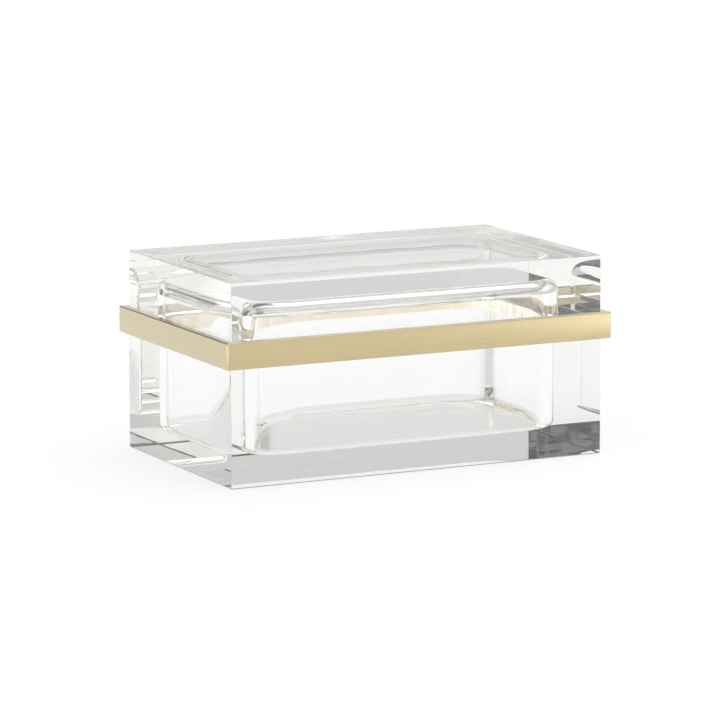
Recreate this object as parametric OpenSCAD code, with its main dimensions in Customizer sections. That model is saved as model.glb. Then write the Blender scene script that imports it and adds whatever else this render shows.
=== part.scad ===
// Keepsake box of clear acrylic: a hollowed base block, a hollowed lid block that lifts off,
// and a brass band of four mitred bars bonded round the rim of the base.
// Millimetres. X runs along the long side, Y towards the back, Z up.
// The origin is the middle of the underside.

/* [Box] */
// Length of the base block along X
body_w = 172; // [120:1:260]
// Depth of the base block along Y
body_d = 102.5; // [80:0.5:180]

/* [Base] */
// Height of the base block, from the underside to its rim
base_h = 57; // [40:0.5:90]
// Thickness of the base's front and back walls
base_side_wall = 11.4; // [4:0.1:15]
// Thickness of the base's end walls
base_end_wall = 13; // [4:0.1:16]
// Thickness of the floor under the base's cavity
base_floor = 10.6; // [4:0.1:16]
// Radius of the cavity's upright corners
base_corner_r = 20; // [8:0.5:24]
// Radius of the fillet between the cavity's walls and its floor
base_fillet_r = 3; // [1:0.25:7]

/* [Lid] */
// Height of the lid block, from its rim to its top
lid_h = 27.8; // [22:0.1:50]
// Thickness of the walls round the lid's recess
lid_wall = 11.4; // [4:0.1:15]
// Thickness of the lid above its recess
lid_roof = 10.8; // [4:0.1:14]
// Radius of the recess's upright corners
lid_corner_r = 18; // [8:0.5:24]
// Radius of the fillet between the recess's walls and its ceiling
lid_fillet_r = 6.3; // [1:0.1:7.5]

/* [Band] */
// Height of the brass bars
band_h = 11.2; // [6:0.1:20]
// Thickness of the brass bars
band_t = 3.2; // [1.5:0.05:6]
// How far the bars stand above the rim of the base, to guide the lid
band_lip = 3.8; // [1:0.1:5]

/* [Fits and edges] */
// Clearance on each side between the lid and the bars that it drops into
lid_clearance = 0.25; // [0.1:0.05:1]
// Width of the polished chamfer on the outer edges of both blocks
edge_chamfer = 0.4; // [0.1:0.1:1]

/* [Hidden] */
// Facets of a full circle
$fn = 96;
// How far a cutter runs past the face that it opens
overrun = 1;
// Height of the underside of the band
band_z = base_h + band_lip - band_h;
// Outline of the lid, which is smaller than the base by its clearance
lid_w = body_w - 2 * lid_clearance;
lid_d = body_d - 2 * lid_clearance;

base_block();
lid_block();
band_front();
band_back();
band_left();
band_right();

// Clear base, open at the top
module base_block() {
    color([0.90, 0.94, 0.95, 0.35])
    difference() {
        chamfered_block(body_w, body_d, base_h, edge_chamfer);
        translate([0, 0, base_floor])
            hollow(body_w - 2 * base_end_wall, body_d - 2 * base_side_wall,
                   base_h - base_floor + overrun, base_corner_r, base_fillet_r);
    }
}

// Clear lid, open at the bottom: the same form as the base, upside down on its rim
module lid_block() {
    color([0.92, 0.95, 0.96, 0.35])
    translate([0, 0, base_h + lid_h])
    mirror([0, 0, 1])
    difference() {
        chamfered_block(lid_w, lid_d, lid_h, edge_chamfer);
        translate([0, 0, lid_roof])
            hollow(lid_w - 2 * lid_wall, lid_d - 2 * lid_wall,
                   lid_h - lid_roof + overrun, lid_corner_r, lid_fillet_r);
    }
}

// Brass bars, each mitred at 45 degrees at both ends
module band_front() {
    color([0.80, 0.71, 0.50]) band_bar(body_w, body_d, 0);
}
module band_back() {
    color([0.80, 0.71, 0.50]) band_bar(body_w, body_d, 180);
}
module band_left() {
    color([0.85, 0.77, 0.62]) band_bar(body_d, body_w, 270);
}
module band_right() {
    color([0.85, 0.77, 0.62]) band_bar(body_d, body_w, 90);
}

// One bar: its inner face is side_l long and lies side_depth / 2 from the middle of the box
module band_bar(side_l, side_depth, turn) {
    rotate([0, 0, turn])
    translate([0, -side_depth / 2, band_z])
    linear_extrude(height = band_h)
    polygon([
        [-side_l / 2, 0],
        [-side_l / 2 - band_t, -band_t],
        [side_l / 2 + band_t, -band_t],
        [side_l / 2, 0]
    ]);
}

// Block on the plane z = 0, centred on the Z axis, with every edge chamfered
module chamfered_block(w, d, h, c) {
    intersection() {
        linear_extrude(height = h)
            chamfered_face(w, d, c);
        translate([0, d / 2, h / 2])
            rotate([90, 0, 0])
                linear_extrude(height = d)
                    chamfered_face(w, h, c);
        translate([-w / 2, 0, h / 2])
            rotate([90, 0, 90])
                linear_extrude(height = w)
                    chamfered_face(d, h, c);
    }
}

// Rectangle about the origin with its four corners cut at 45 degrees
module chamfered_face(a, b, c) {
    polygon([
        [-a / 2 + c, -b / 2],
        [a / 2 - c, -b / 2],
        [a / 2, -b / 2 + c],
        [a / 2, b / 2 - c],
        [a / 2 - c, b / 2],
        [-a / 2 + c, b / 2],
        [-a / 2, b / 2 - c],
        [-a / 2, -b / 2 + c]
    ]);
}

// Milled hollow that starts at z = 0: upright corners of radius corner_r, floor fillet of radius fillet_r
module hollow(w, d, h, corner_r, fillet_r) {
    for (sx = [-1, 1])
        for (sy = [-1, 1])
            translate([sx * (w / 2 - corner_r), sy * (d / 2 - corner_r), 0])
                rotate_extrude()
                    intersection() {
                        hollow_profile(2 * corner_r, h, fillet_r);
                        square([corner_r, h]);
                    }
    translate([w / 2 - corner_r, 0, 0])
        rotate([90, 0, 270])
            linear_extrude(height = w - 2 * corner_r)
                hollow_profile(d, h, fillet_r);
    translate([0, d / 2 - corner_r, 0])
        rotate([90, 0, 0])
            linear_extrude(height = d - 2 * corner_r)
                hollow_profile(w, h, fillet_r);
}

// Section across a hollow: straight sides, flat floor at y = 0, and a round of radius r between them
module hollow_profile(width, h, r) {
    translate([-width / 2, r])
        square([width, h - r]);
    translate([-width / 2 + r, 0])
        square([width - 2 * r, h]);
    for (s = [-1, 1])
        translate([s * (width / 2 - r), r])
            circle(r = r);
}
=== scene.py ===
import math

import bpy
from mathutils import Matrix, Vector


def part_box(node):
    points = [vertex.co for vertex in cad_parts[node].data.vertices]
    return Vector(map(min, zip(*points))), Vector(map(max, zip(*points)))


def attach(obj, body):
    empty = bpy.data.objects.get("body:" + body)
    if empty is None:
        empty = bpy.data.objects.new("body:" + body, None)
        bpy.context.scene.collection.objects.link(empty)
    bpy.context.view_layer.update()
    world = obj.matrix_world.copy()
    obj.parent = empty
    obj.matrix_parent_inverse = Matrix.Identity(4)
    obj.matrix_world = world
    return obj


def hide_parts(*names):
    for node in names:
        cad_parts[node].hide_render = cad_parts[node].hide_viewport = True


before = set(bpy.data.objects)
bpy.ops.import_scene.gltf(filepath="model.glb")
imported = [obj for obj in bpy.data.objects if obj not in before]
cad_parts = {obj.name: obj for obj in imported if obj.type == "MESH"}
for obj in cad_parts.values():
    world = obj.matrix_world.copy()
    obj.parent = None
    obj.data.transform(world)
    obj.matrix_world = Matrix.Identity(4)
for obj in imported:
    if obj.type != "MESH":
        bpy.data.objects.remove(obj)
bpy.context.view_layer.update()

# Sizes in millimetres, as in the part's source
MM = 0.001
BASE_END_WALL = 13.0
BASE_SIDE_WALL = 11.4
BASE_FLOOR = 10.6
BASE_CORNER_R = 20.0
BASE_FILLET_R = 3.0
LID_WALL = 11.4
LID_ROOF = 10.8
LID_CORNER_R = 18.0
LID_FILLET_R = 6.3

# Rounds of the blocks' outer edges, of the edges of their rims, and of the lid's lower outer edge
EDGE_R = 0.4
RIM_EDGE_R = 0.08
LID_RIM_R = 1.2
# Smallest corner radius of a ring where such a round runs into a corner
LEAST_R = 0.02
# Rounds of a bar's long outer edges and of the band's corners
BAR_EDGE_R = 0.5
MITRE_EDGE_R = 1.0
# Gap left between surfaces that touch, so that each is drawn by itself
HAIR = 0.04

# Segments of each round
CORNER_SEGMENTS = 24
FILLET_SEGMENTS = 16
EDGE_SEGMENTS = 5
MITRE_SEGMENTS = 6
# Edges of a bar that turn by more than this many degrees are drawn sharp
SHARP_ANGLE = 30


def node_mm(node):
    """Lowest and highest corner of a CAD node, in millimetres."""
    low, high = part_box(node)
    return Vector(low) / MM, Vector(high) / MM


base_low, base_high = node_mm("base_block")
lid_low, lid_high = node_mm("lid_block")
bar_low, bar_high = node_mm("band_front")


# Mesh building

def add_object(name, points, faces, normals=None, materials=()):
    """A mesh object from points in millimetres, with its own normals where they are given."""
    mesh = bpy.data.meshes.new(name)
    mesh.from_pydata([tuple(Vector(p) * MM) for p in points], [], faces)
    mesh.update()
    if normals:
        mesh.shade_smooth()
        mesh.normals_split_custom_set_from_vertices([tuple(n) for n in normals])
    for material in materials:
        mesh.materials.append(material)
    obj = bpy.data.objects.new(name, mesh)
    bpy.context.scene.collection.objects.link(obj)
    return obj


def quarter_turn(count):
    """Angles from 0 to 90 degrees in count steps."""
    return [math.pi / 2 * step / count for step in range(count + 1)]


def rounded_ring(half_x, half_y, radius, z, side, tilt):
    """Points and normals of a rounded rectangle at height z.

    side is 1 where the surface faces away from the middle and -1 where it faces the middle.
    tilt is the angle of the normal above the horizontal.
    """
    points, normals = [], []
    flat = side * math.cos(tilt)
    for quarter in range(4):
        centre_x = (half_x - radius) * (1 if quarter in (0, 3) else -1)
        centre_y = (half_y - radius) * (1 if quarter in (0, 1) else -1)
        for step in range(CORNER_SEGMENTS + 1):
            angle = math.pi / 2 * (quarter + step / CORNER_SEGMENTS)
            ca, sa = math.cos(angle), math.sin(angle)
            points.append((centre_x + radius * ca, centre_y + radius * sa, z))
            normals.append((flat * ca, flat * sa, math.sin(tilt)))
    return points, normals


def lofted_faces(rings, size, flip=False):
    """Faces between neighbouring rings of size points each, and the two flat faces that close the ends."""
    faces = []
    for i in range(rings - 1):
        for k in range(size):
            n = (k + 1) % size
            faces.append((i * size + k, i * size + n, (i + 1) * size + n, (i + 1) * size + k))
    faces.append(tuple(range(size))[::-1])
    faces.append(tuple((rings - 1) * size + k for k in range(size)))
    return [face[::-1] for face in faces] if flip else faces


def block_rings(half_x, half_y, height, walls, slab, corner_r, fillet_r, rim_r, belt_depth):
    """Rings from the closed face over the outside and the rim to the hollow's flat end, and named places.

    A ring is (half_x, half_y, radius, depth from the closed face, side, tilt), as rounded_ring takes them.
    A place is its first and its last ring.
    """
    rings = []
    hollow_x, hollow_y = half_x - walls[0], half_y - walls[1]

    def outer(inset, depth, tilt):
        rings.append((half_x - inset, half_y - inset, max(EDGE_R - inset, LEAST_R), depth, 1, tilt))

    def inner(inset, depth, tilt):
        rings.append((hollow_x - inset, hollow_y - inset, corner_r - inset, depth, -1, tilt))

    for a in quarter_turn(EDGE_SEGMENTS):
        outer(EDGE_R * (1 - math.sin(a)), EDGE_R * (1 - math.cos(a)), a - math.pi / 2)
    places = {"edge": (0, EDGE_SEGMENTS)}
    belt_from = len(rings)
    if belt_depth is not None:
        outer(0, belt_depth, 0)
    for a in quarter_turn(EDGE_SEGMENTS):
        outer(rim_r * (1 - math.cos(a)), height - rim_r * (1 - math.sin(a)), a)
    places["belt"] = (belt_from, len(rings) - 1)
    for a in quarter_turn(EDGE_SEGMENTS):
        inner(-RIM_EDGE_R * (1 - math.sin(a)), height - RIM_EDGE_R * (1 - math.cos(a)), math.pi / 2 - a)
    fillet_from = len(rings)
    for a in quarter_turn(FILLET_SEGMENTS):
        inner(fillet_r * (1 - math.cos(a)), slab + fillet_r * (1 - math.sin(a)), a)
    places["fillet"] = (fillet_from, len(rings) - 1)
    return rings, places


def hollow_block(name, half_x, half_y, closed_z, rim_z, walls, slab, corner_r, fillet_r, rim_r,
                 material, zones, belt=None):
    """A block with one closed face and a rounded hollow that opens at the rim, as one closed mesh.

    closed_z is the height of the closed face and rim_z that of the rim, which may be the lower one.
    walls are the thicknesses of the end walls and of the side walls.
    rim_r is the round on the rim's outer edge.
    zones are (place, material, test of the face's normal) for the faces that don't take the plain material.
    belt is the height from which the outer sides count as the belt.
    """
    up = 1 if rim_z > closed_z else -1
    belt_depth = None if belt is None else abs(belt - closed_z)
    rings, places = block_rings(half_x, half_y, abs(rim_z - closed_z), walls, slab, corner_r, fillet_r,
                                rim_r, belt_depth)
    points, normals = [], []
    for ring_x, ring_y, radius, depth, side, tilt in rings:
        ring = rounded_ring(ring_x, ring_y, radius, closed_z + up * depth, side, up * tilt)
        points += ring[0]
        normals += ring[1]
    size = 4 * (CORNER_SEGMENTS + 1)
    faces = lofted_faces(len(rings), size, flip=up < 0)
    obj = add_object(name, points, faces, normals, [material] + [zone[1] for zone in zones])
    for index, (place, _, test) in enumerate(zones, 1):
        first, last = places[place]
        for face in obj.data.polygons[first * size:last * size]:
            if test(face.normal):
                face.material_index = index
    return obj


def faces_an_end(normal):
    return abs(normal.x) > abs(normal.y)


def faces_a_side(normal):
    return not faces_an_end(normal)


def faces_anywhere(normal):
    return True


def bar_profile(depth, height):
    """Section of a bar: (distance out from the base block, height), with the outer edges rounded."""
    points = [(HAIR, 0.0)]
    for a in quarter_turn(EDGE_SEGMENTS):
        points.append((depth - BAR_EDGE_R * (1 - math.sin(a)), BAR_EDGE_R * (1 - math.cos(a))))
    for a in quarter_turn(EDGE_SEGMENTS):
        points.append((depth - BAR_EDGE_R * (1 - math.cos(a)), height - BAR_EDGE_R * (1 - math.sin(a))))
    points.append((HAIR, height))
    return points


def mitred_bar(name, half_length, half_depth, quarter, outer_material, inner_material):
    """One brass bar along the side that faces -Y before its quarter turns, mitred at both ends.

    half_length is half of the inner face's length, and half_depth its distance from the middle.
    The bar's inner and top faces take the inner material, a lighter brass that is painted light on faces that
    lie in shade.
    """
    profile = bar_profile(-bar_low.y - base_high.y, bar_high.z - bar_low.z)
    size = len(profile)
    spin = Matrix.Rotation(math.radians(quarter * 90), 3, "Z")
    # Each end follows half of the round on the band's upright corner
    turns = [math.pi / 4 * step / MITRE_SEGMENTS for step in range(MITRE_SEGMENTS + 1)]
    stations = [(-1, turn) for turn in reversed(turns)] + [(1, turn) for turn in turns]
    points = []
    for side, a in stations:
        back = MITRE_EDGE_R * (math.cos(a) - math.sin(a))
        for out, up in profile:
            reach = max(out - MITRE_EDGE_R * (1 - math.cos(a)), HAIR)
            x = side * (half_length + reach - back)
            points.append(spin @ Vector((x, -half_depth - reach, bar_low.z + up)))
    faces = lofted_faces(len(stations), size)
    obj = add_object(name, points, faces, materials=(outer_material, inner_material))
    # Inner and top faces take the lighter brass: painted light
    for i in range(len(stations) - 1):
        for face in obj.data.polygons[(i + 1) * size - 2:(i + 1) * size]:
            face.material_index = 1
    obj.data.shade_smooth()
    obj.data.set_sharp_from_angle(angle=math.radians(SHARP_ANGLE))
    return obj


# Materials

# The part of a noise's range over which a ramp runs from its first value to its last
NOISE_MIDDLE = (0.3, 0.7)


class Nodes:
    """Short calls for a material's or a world's node tree."""

    def __init__(self, tree):
        self.tree = tree

    def add(self, kind, **values):
        """A node with its properties and inputs set; an input's name has its spaces as underscores."""
        node = self.tree.nodes.new(kind)
        for key, value in values.items():
            if hasattr(node, key):
                setattr(node, key, value)
            else:
                node.inputs[key.replace("_", " ")].default_value = value
        return node

    def link(self, source, target):
        self.tree.links.new(source, target)

    def feed(self, value, socket):
        """Link a socket to the input, or set the input to a number."""
        if isinstance(value, (int, float)):
            socket.default_value = value
        else:
            self.link(value, socket)

    def ramp(self, source, stops):
        """A colour ramp from (position, grey or colour) stops."""
        node = self.add("ShaderNodeValToRGB")
        elements = node.color_ramp.elements
        while len(elements) < len(stops):
            elements.new(0.5)
        for element, (position, value) in zip(elements, stops):
            element.position = position
            element.color = (*value, 1) if isinstance(value, tuple) else (value, value, value, 1)
        self.link(source, node.inputs[0])
        return node.outputs["Color"]

    def between(self, source, values):
        """A ramp from the first value to the second over the middle of a noise's range."""
        return self.ramp(source, list(zip(NOISE_MIDDLE, values)))

    def noise(self, scale, stretch=(1, 1, 1), detail=3.0, roughness=0.5, space="Object"):
        """Noise with scale in cycles per metre; stretch multiplies it along X, Y and Z."""
        coordinates = self.add("ShaderNodeTexCoord")
        mapping = self.add("ShaderNodeMapping", Scale=stretch)
        self.link(coordinates.outputs[space], mapping.inputs["Vector"])
        noise = self.add("ShaderNodeTexNoise", Scale=scale, Detail=detail, Roughness=roughness)
        self.link(mapping.outputs["Vector"], noise.inputs["Vector"])
        return noise.outputs["Fac"]

    def along(self, vector, azimuth):
        """How far a vector reaches in a level direction, given in degrees from +Y towards +X."""
        node = self.add("ShaderNodeVectorMath", operation="DOT_PRODUCT")
        turn = math.radians(azimuth)
        node.inputs[1].default_value = (math.sin(turn), math.cos(turn), 0)
        self.link(vector, node.inputs[0])
        return node.outputs["Value"]

    def smooth(self, source, from_min, from_max, to_min=0.0, to_max=1.0):
        """Source mapped smoothly from one range to the other."""
        node = self.add("ShaderNodeMapRange", interpolation_type="SMOOTHSTEP", From_Min=from_min,
                        From_Max=from_max, To_Min=to_min, To_Max=to_max)
        self.link(source, node.inputs["Value"])
        return node.outputs["Result"]

    def math(self, operation, first, second):
        """A sum, product and so on of two sockets, or of a socket and a number."""
        node = self.add("ShaderNodeMath", operation=operation)
        self.feed(first, node.inputs[0])
        self.feed(second, node.inputs[1])
        return node.outputs[0]

    def blend(self, factor, first, second):
        """Two numbers or sockets blended by a number or a socket."""
        node = self.add("ShaderNodeMix", data_type="FLOAT")
        self.feed(factor, node.inputs["Factor"])
        self.feed(first, node.inputs["A"])
        self.feed(second, node.inputs["B"])
        return node.outputs[0]

    def bump(self, height, depth, normal=None):
        """A bump whose height runs over depth millimetres."""
        node = self.add("ShaderNodeBump", Strength=1.0, Distance=depth * MM)
        self.link(height, node.inputs["Height"])
        if normal is not None:
            self.link(normal, node.inputs["Normal"])
        return node.outputs["Normal"]


def new_material(name, **values):
    """A material, its nodes and its Principled shader, with inputs set as by Nodes.add."""
    material = bpy.data.materials.new(name)
    material.use_nodes = True
    shader = material.node_tree.nodes["Principled BSDF"]
    for key, value in values.items():
        shader.inputs[key.replace("_", " ")].default_value = value
    return material, Nodes(material.node_tree), shader


def output(material):
    return material.node_tree.nodes["Material Output"]


ACRYLIC_IOR = 1.49
ACRYLIC_CLEARNESS = (0.985, 0.985, 0.985, 1)
# What the acrylic takes out of the light along a long path
ACRYLIC_DENSITY = 10.0
ACRYLIC_TINT = (0.93, 0.933, 0.917, 1)
# Handling marks: cycles per metre, and (noise level, roughness)
MARKS_PER_M = 90
MARKS = ((0.62, 0.0), (0.85, 0.03))
# Waves in the polished faces, and tool marks on the fillets: cycles per metre, stretch, depth in millimetres
WAVES_PER_M = 45
WAVE_DEPTH = 0.02
FINE_WAVES_PER_M = 260
FINE_WAVE_STRETCH = (0.25, 1, 1)
FINE_WAVE_DEPTH = 0.0012
TOOL_MARKS_PER_M = 650
TOOL_MARK_STRETCH = (0.04, 0.04, 1)
BASE_TOOL_MARK_DEPTH = 0.03
LID_TOOL_MARK_DEPTH = 0.09


def acrylic_material(name, tool_mark_depth=0.0):
    """Clear cast acrylic: polished faces that are a little wavy, with faint handling marks.

    The polished tool marks, where there are any, run round the hollow.
    """
    material, nodes, shader = new_material(name, Base_Color=ACRYLIC_CLEARNESS, IOR=ACRYLIC_IOR,
                                           Transmission_Weight=1.0)
    nodes.link(nodes.ramp(nodes.noise(MARKS_PER_M, detail=4.0), MARKS), shader.inputs["Roughness"])
    waves = nodes.bump(nodes.noise(WAVES_PER_M, detail=1.0), WAVE_DEPTH)
    fine = nodes.noise(FINE_WAVES_PER_M, FINE_WAVE_STRETCH, detail=2.0)
    waves = nodes.bump(fine, FINE_WAVE_DEPTH, waves)
    if tool_mark_depth:
        marks = nodes.noise(TOOL_MARKS_PER_M, TOOL_MARK_STRETCH, detail=2.0)
        waves = nodes.bump(marks, tool_mark_depth, waves)
    nodes.link(waves, shader.inputs["Normal"])
    absorption = nodes.add("ShaderNodeVolumeAbsorption", Density=ACRYLIC_DENSITY, Color=ACRYLIC_TINT)
    nodes.link(absorption.outputs[0], output(material).inputs["Volume"])
    return material


# Dark greys of the underside's edge: painted contact shadow on a fine-ground edge
GROUND_EDGE_PER_M = 300
PAINTED_CONTACT_SHADOW_SHADES = (0.30, 0.42)
GROUND_EDGE_ROUGHNESS = 0.6


def ground_edge_and_shadow_material():
    """The fine-ground edge round the underside: its roughness is the edge's own, and its dark grey is painted
    shade for the contact shadow at the foot.
    """
    material, nodes, shader = new_material("ground_edge_and_shadow", Roughness=GROUND_EDGE_ROUGHNESS, IOR=ACRYLIC_IOR)
    shade = nodes.between(nodes.noise(GROUND_EDGE_PER_M), PAINTED_CONTACT_SHADOW_SHADES)
    nodes.link(shade, shader.inputs["Base Color"])
    return material


# Darkest and lightest brass on the front and back bars, on the end bars, and on inner and top faces. The end
# bars' shades are a lighter copy of the side bars' brass, painted light for the brighter end faces, and the
# inner and top faces are lighter still, painted light on faces that lie in shade
BRASS_SIDE_SHADES = ((0.53, 0.435, 0.232), (0.605, 0.505, 0.285))
BRASS_END_PAINTED_LIGHT_SHADES = ((0.565, 0.475, 0.275), (0.645, 0.55, 0.335))
BRASS_INNER_PAINTED_LIGHT_SHADES = ((0.80, 0.72, 0.53), (0.90, 0.83, 0.66))
BRASS_ROUGHNESS = (0.24, 0.38)
# Brushing: cycles per metre along the grain, how many times finer it is across, and its depth in millimetres
GRAIN_PER_M = 55
GRAIN_FINENESS = 60.0
GRAIN_DEPTH = 0.012
# Cloudiness: cycles per metre, and its share beside the grain
CLOUD_PER_M = 28
CLOUD_SHARE = 0.25
LACQUER_IOR = 1.5
LACQUER_ROUGHNESS = 0.2


def brass_material(name, axis, shades):
    """Satin brushed brass between two shades; axis is 0 for grain along X and 1 for grain along Y."""
    material, nodes, shader = new_material(name, Metallic=1.0, Coat_Weight=1.0, Coat_IOR=LACQUER_IOR,
                                           Coat_Roughness=LACQUER_ROUGHNESS)
    stretch = tuple(1.0 if i == axis else GRAIN_FINENESS for i in range(3))
    grain = nodes.noise(GRAIN_PER_M, stretch, detail=5.0, roughness=0.65)
    level = nodes.blend(CLOUD_SHARE, grain, nodes.noise(CLOUD_PER_M, detail=2.0))
    nodes.link(nodes.between(level, shades), shader.inputs["Base Color"])
    nodes.link(nodes.between(level, BRASS_ROUGHNESS), shader.inputs["Roughness"])
    nodes.link(nodes.bump(grain, GRAIN_DEPTH), shader.inputs["Normal"])
    return material


# The bond along the sides and at the ends: the cycles per metre of its mottling, its colours as stops of that
# noise, its glow, and its depth in millimetres. The glow is painted light: the brass and bond glow in their
# own colours in place of light that reaches them through the acrylic, and the ends glow brighter than the
# sides
BOND_SIDE_PER_M = 160
BOND_SIDE_STOPS = ((0.35, (0.74, 0.66, 0.50)), (0.62, (0.93, 0.88, 0.76)))
BOND_SIDE_PAINTED_GLOW = 0.6
BOND_SIDE_DEPTH = 0.03
BOND_END_PER_M = 300
BOND_END_STOPS = ((0.38, (0.70, 0.64, 0.50)), (0.48, (0.90, 0.86, 0.75)), (0.60, (0.98, 0.97, 0.94)))
BOND_END_PAINTED_GLOW = 0.75
BOND_END_DEPTH = 0.04
BOND_STRETCH = (1, 1, 0.5)
BOND_ROUGHNESS = (0.45, 0.7)


def bond_with_painted_glow_material(name, scale, stops, glow, depth):
    """The brass as seen through the acrylic and the mottled bond that holds it, with a painted glow in the
    same colours that stands in for the light falling on it.
    """
    # The emission is painted light in the bond's own colours, not a lamp
    material, nodes, shader = new_material(name, Metallic=1.0, Emission_Strength=glow)
    patches = nodes.noise(scale, BOND_STRETCH, detail=4.0, roughness=0.6)
    colour = nodes.ramp(patches, stops)
    nodes.link(colour, shader.inputs["Base Color"])
    nodes.link(colour, shader.inputs["Emission Color"])
    nodes.link(nodes.between(patches, BOND_ROUGHNESS), shader.inputs["Roughness"])
    nodes.link(nodes.bump(patches, depth), shader.inputs["Normal"])
    return material


acrylic = acrylic_material("clear_acrylic")
base_tooled = acrylic_material("clear_acrylic_tooled", BASE_TOOL_MARK_DEPTH)
lid_tooled = acrylic_material("clear_acrylic_tooled_lid", LID_TOOL_MARK_DEPTH)
ground_edge_and_shadow = ground_edge_and_shadow_material()
bond_sides_painted_glow = bond_with_painted_glow_material("bonded_brass_sides_painted_glow", BOND_SIDE_PER_M, BOND_SIDE_STOPS, BOND_SIDE_PAINTED_GLOW,
                           BOND_SIDE_DEPTH)
bond_ends_painted_glow = bond_with_painted_glow_material("bonded_brass_ends_painted_glow", BOND_END_PER_M, BOND_END_STOPS, BOND_END_PAINTED_GLOW,
                          BOND_END_DEPTH)
brass_sides = brass_material("brushed_brass_x", 0, BRASS_SIDE_SHADES)
# The end bars' lighter shades are painted light
brass_ends = brass_material("brushed_brass_y", 1, BRASS_END_PAINTED_LIGHT_SHADES)
brass_inner_painted_light = brass_material("brushed_brass_inner_painted_light", 0, BRASS_INNER_PAINTED_LIGHT_SHADES)


# The box

def dress(obj, node, body):
    """The piece stands for its CAD node, which it hides, and rides with its body."""
    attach(obj, body)
    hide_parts(node)


def make_base():
    # The belt behind the bars takes the brass and bond with their painted glow
    zones = (("edge", ground_edge_and_shadow, faces_anywhere), ("belt", bond_ends_painted_glow, faces_an_end),
             ("belt", bond_sides_painted_glow, faces_a_side), ("fillet", base_tooled, faces_anywhere))
    obj = hollow_block("base_block_clear", base_high.x, base_high.y, base_low.z, base_high.z - HAIR,
                       (BASE_END_WALL, BASE_SIDE_WALL), BASE_FLOOR, BASE_CORNER_R, BASE_FILLET_R, RIM_EDGE_R,
                       acrylic, zones, belt=bar_low.z)
    dress(obj, "base_block", "base")


def make_lid():
    zones = (("fillet", lid_tooled, faces_anywhere),)
    obj = hollow_block("lid_block_clear", lid_high.x, lid_high.y, lid_high.z, lid_low.z,
                       (LID_WALL, LID_WALL), LID_ROOF, LID_CORNER_R, LID_FILLET_R, LID_RIM_R, acrylic, zones)
    dress(obj, "lid_block", "lid")


def make_bars():
    """The four bars, each a quarter turn further round than the last."""
    side = (base_high.x, base_high.y, brass_sides)
    end = (base_high.y, base_high.x, brass_ends)
    bars = (("front", side), ("right", end), ("back", side), ("left", end))
    for quarter, (name, (half_length, half_depth, material)) in enumerate(bars):
        obj = mitred_bar("bar_" + name, half_length, half_depth, quarter, material, brass_inner_painted_light)
        dress(obj, "band_" + name, "base")


make_base()
make_lid()
make_bars()


# Stage and light

FLOOR_HALF = 60000.0
FLOOR_DROP = 0.3
FLOOR_CLOUD_PER_M = 6
FLOOR_SHADES = (0.79, 0.80)
FLOOR_ROUGHNESS = 0.9
FLOOR_SPECULAR = 0.1
# The floor's glow, and its share of the floor's look beside plain diffuse white
FLOOR_GLOW = 1.1
FLOOR_GLOW_SHARE = 0.67
# Two pools of light on the floor, outside the picture. An azimuth is in degrees from +Y towards +X. A pool
# begins and is full at two distances along its azimuth, in metres from the middle of the box, and its glow
# is added to the floor's. The right pool lies in front too.
FRONT_AZIMUTH = 180
FRONT_POOL_EDGE = (0.2, 0.32)
RIGHT_POOL_AZIMUTH = 63.3
RIGHT_POOL_EDGE = (0.045, 0.15)
RIGHT_POOL_GLOW = 2.8
LEFT_POOL_AZIMUTH = -116.7
LEFT_POOL_EDGE = (0.3, 0.38)
LEFT_POOL_GLOW = 1.5


def floor_glow(nodes):
    """The strength of the floor's glow with its two pools."""
    place = nodes.add("ShaderNodeTexCoord").outputs["Object"]
    right = nodes.smooth(nodes.along(place, RIGHT_POOL_AZIMUTH), *RIGHT_POOL_EDGE)
    front = nodes.smooth(nodes.along(place, FRONT_AZIMUTH), *FRONT_POOL_EDGE)
    left = nodes.smooth(nodes.along(place, LEFT_POOL_AZIMUTH), *LEFT_POOL_EDGE)
    right_pool = nodes.math("MULTIPLY", nodes.math("MULTIPLY", right, front), RIGHT_POOL_GLOW)
    left_pool = nodes.math("MULTIPLY", left, LEFT_POOL_GLOW)
    return nodes.math("ADD", nodes.math("ADD", right_pool, left_pool), FLOOR_GLOW)


def floor_material():
    """Plain pale studio floor, lit from within as well as from above, which keeps the box's shadow faint."""
    material, nodes, shader = new_material("pale_floor", Roughness=FLOOR_ROUGHNESS,
                                           Specular_IOR_Level=FLOOR_SPECULAR)
    shade = nodes.between(nodes.noise(FLOOR_CLOUD_PER_M, detail=2.0), FLOOR_SHADES)
    nodes.link(shade, shader.inputs["Base Color"])
    glow = nodes.add("ShaderNodeEmission")
    nodes.link(floor_glow(nodes), glow.inputs["Strength"])
    mix = nodes.add("ShaderNodeMixShader")
    mix.inputs[0].default_value = FLOOR_GLOW_SHARE
    nodes.link(shader.outputs[0], mix.inputs[1])
    nodes.link(glow.outputs[0], mix.inputs[2])
    nodes.link(mix.outputs[0], output(material).inputs["Surface"])
    return material


def make_floor():
    """The floor plane, a hair under the box."""
    z = base_low.z - FLOOR_DROP
    corners = [(x * FLOOR_HALF, y * FLOOR_HALF, z) for x, y in ((-1, -1), (1, -1), (1, 1), (-1, 1))]
    add_object("floor", corners, [(0, 1, 2, 3)], materials=(floor_material(),))


# Radiance of the surroundings by height above the horizon: (sine of the elevation, radiance)
SKY = ((0.0, 1.0), (0.05, 0.9), (0.17, 0.68), (0.35, 0.60), (0.7, 1.0), (1.0, 2.2))
# The ramp holds colours up to 1, so the sky is divided by this and the background multiplied by it
SKY_SCALE = 2.5
# Radiance of the plain white that the camera sees behind the floor
BACKGROUND = 1.06
# The unlit side of the studio: the azimuth of its middle, the angles from there at which it is full and ends,
# and the sines of the elevation at which it begins and is full
DARK_AZIMUTH = -26.73
DARK_INNER = 20
DARK_OUTER = 38
DARK_RISE = (0.03, 0.10)
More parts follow.
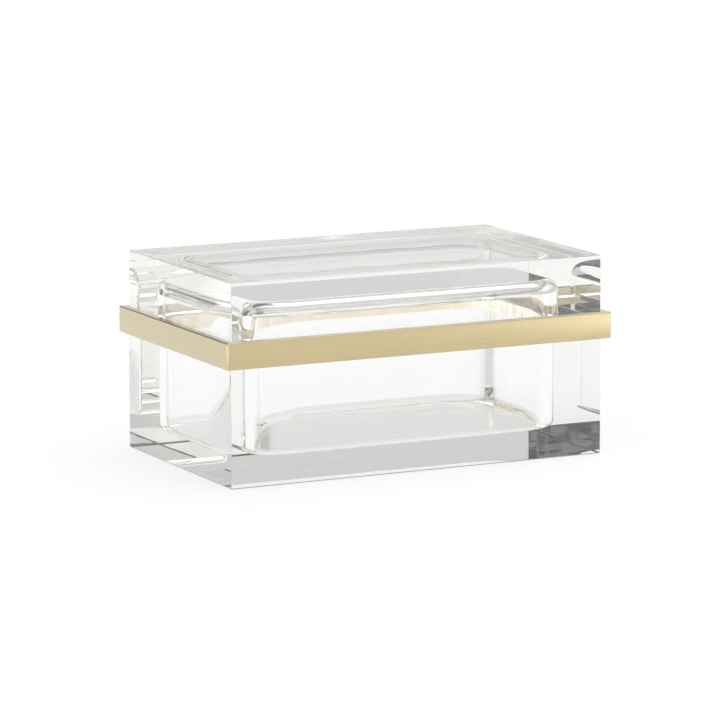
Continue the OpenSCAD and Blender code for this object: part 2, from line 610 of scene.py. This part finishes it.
# The range of its mottled darkness, and the mottling's noise
DARK_LEVELS = (0.12, 0.34)
DARK_MOTTLE = 260
DARK_MOTTLE_RANGE = (0.35, 0.65)


def studio_shade(nodes, direction, height):
    """The share of the sky's light left in a direction: 1 apart from the unlit side."""
    level = nodes.add("ShaderNodeVectorMath", operation="MULTIPLY")
    level.inputs[1].default_value = (1, 1, 0)
    nodes.link(direction, level.inputs[0])
    unit = nodes.add("ShaderNodeVectorMath", operation="NORMALIZE")
    nodes.link(level.outputs[0], unit.inputs[0])
    unlit = nodes.smooth(nodes.along(unit.outputs[0], DARK_AZIMUTH), math.cos(math.radians(DARK_OUTER)),
                         math.cos(math.radians(DARK_INNER)))
    above = nodes.smooth(height, *DARK_RISE)
    mottle = nodes.noise(DARK_MOTTLE, detail=4.0, space="Generated")
    darkness = nodes.smooth(mottle, *DARK_MOTTLE_RANGE, *DARK_LEVELS)
    return nodes.blend(nodes.math("MULTIPLY", unlit, above), 1.0, darkness)


def make_world():
    """Soft studio surroundings: bright overhead, greyer near the horizon, unlit on one side."""
    world = bpy.data.worlds.new("studio")
    bpy.context.scene.world = world
    world.use_nodes = True
    world.node_tree.nodes.clear()
    nodes = Nodes(world.node_tree)
    direction = nodes.add("ShaderNodeTexCoord").outputs["Generated"]
    parts = nodes.add("ShaderNodeSeparateXYZ")
    nodes.link(direction, parts.inputs[0])
    height = parts.outputs["Z"]
    scaled = nodes.add("ShaderNodeVectorMath", operation="SCALE")
    nodes.link(nodes.ramp(height, [(s, v / SKY_SCALE) for s, v in SKY]), scaled.inputs[0])
    nodes.link(studio_shade(nodes, direction, height), scaled.inputs["Scale"])
    studio = nodes.add("ShaderNodeBackground", Strength=SKY_SCALE)
    nodes.link(scaled.outputs[0], studio.inputs["Color"])
    plain = nodes.add("ShaderNodeBackground", Strength=BACKGROUND, Color=(1, 1, 1, 1))
    pick = nodes.add("ShaderNodeMixShader")
    nodes.link(nodes.add("ShaderNodeLightPath").outputs["Is Camera Ray"], pick.inputs[0])
    nodes.link(studio.outputs[0], pick.inputs[1])
    nodes.link(plain.outputs[0], pick.inputs[2])
    nodes.link(pick.outputs[0], nodes.add("ShaderNodeOutputWorld").inputs["Surface"])


# Camera, fitted to the photograph: degrees from -Y towards +X, degrees above the horizon, and a place in
# shares of the base block's length
CAMERA_AZIMUTH = -26.73
CAMERA_ELEVATION = 9.89
CAMERA_DISTANCE = 10.9009
CAMERA_RIGHT = -0.0100
CAMERA_UP = 0.2218
# Focal length in pixels of the photograph's frame, and the frame's width
FOCAL_PIXELS = 4414.7
FRAME_PIXELS = 720
SENSOR = 36.0
CLIP_START = 0.05
CLIP_END = 200.0


def make_camera():
    azimuth, elevation = math.radians(CAMERA_AZIMUTH), math.radians(CAMERA_ELEVATION)
    back = Vector((math.sin(azimuth) * math.cos(elevation), -math.cos(azimuth) * math.cos(elevation),
                   math.sin(elevation)))
    right = Vector((math.cos(azimuth), math.sin(azimuth), 0))
    up = back.cross(right)
    length = (base_high.x - base_low.x) * MM
    data = bpy.data.cameras.new("camera")
    data.sensor_width = SENSOR
    data.lens = FOCAL_PIXELS / FRAME_PIXELS * SENSOR
    data.clip_start = CLIP_START
    data.clip_end = CLIP_END
    camera = bpy.data.objects.new("camera", data)
    camera.location = (back * CAMERA_DISTANCE + right * CAMERA_RIGHT + up * CAMERA_UP) * length
    camera.rotation_mode = "QUATERNION"
    camera.rotation_quaternion = Matrix((right, up, back)).transposed().to_quaternion()
    bpy.context.scene.collection.objects.link(camera)
    bpy.context.scene.camera = camera


make_floor()
make_world()
make_camera()

# Clear solids need many bounces, and the plain view transform keeps the pale floor white
BOUNCES = 40
scene = bpy.context.scene
scene.view_settings.view_transform = "Standard"
scene.cycles.max_bounces = BOUNCES
scene.cycles.transmission_bounces = BOUNCES
scene.cycles.glossy_bounces = BOUNCES
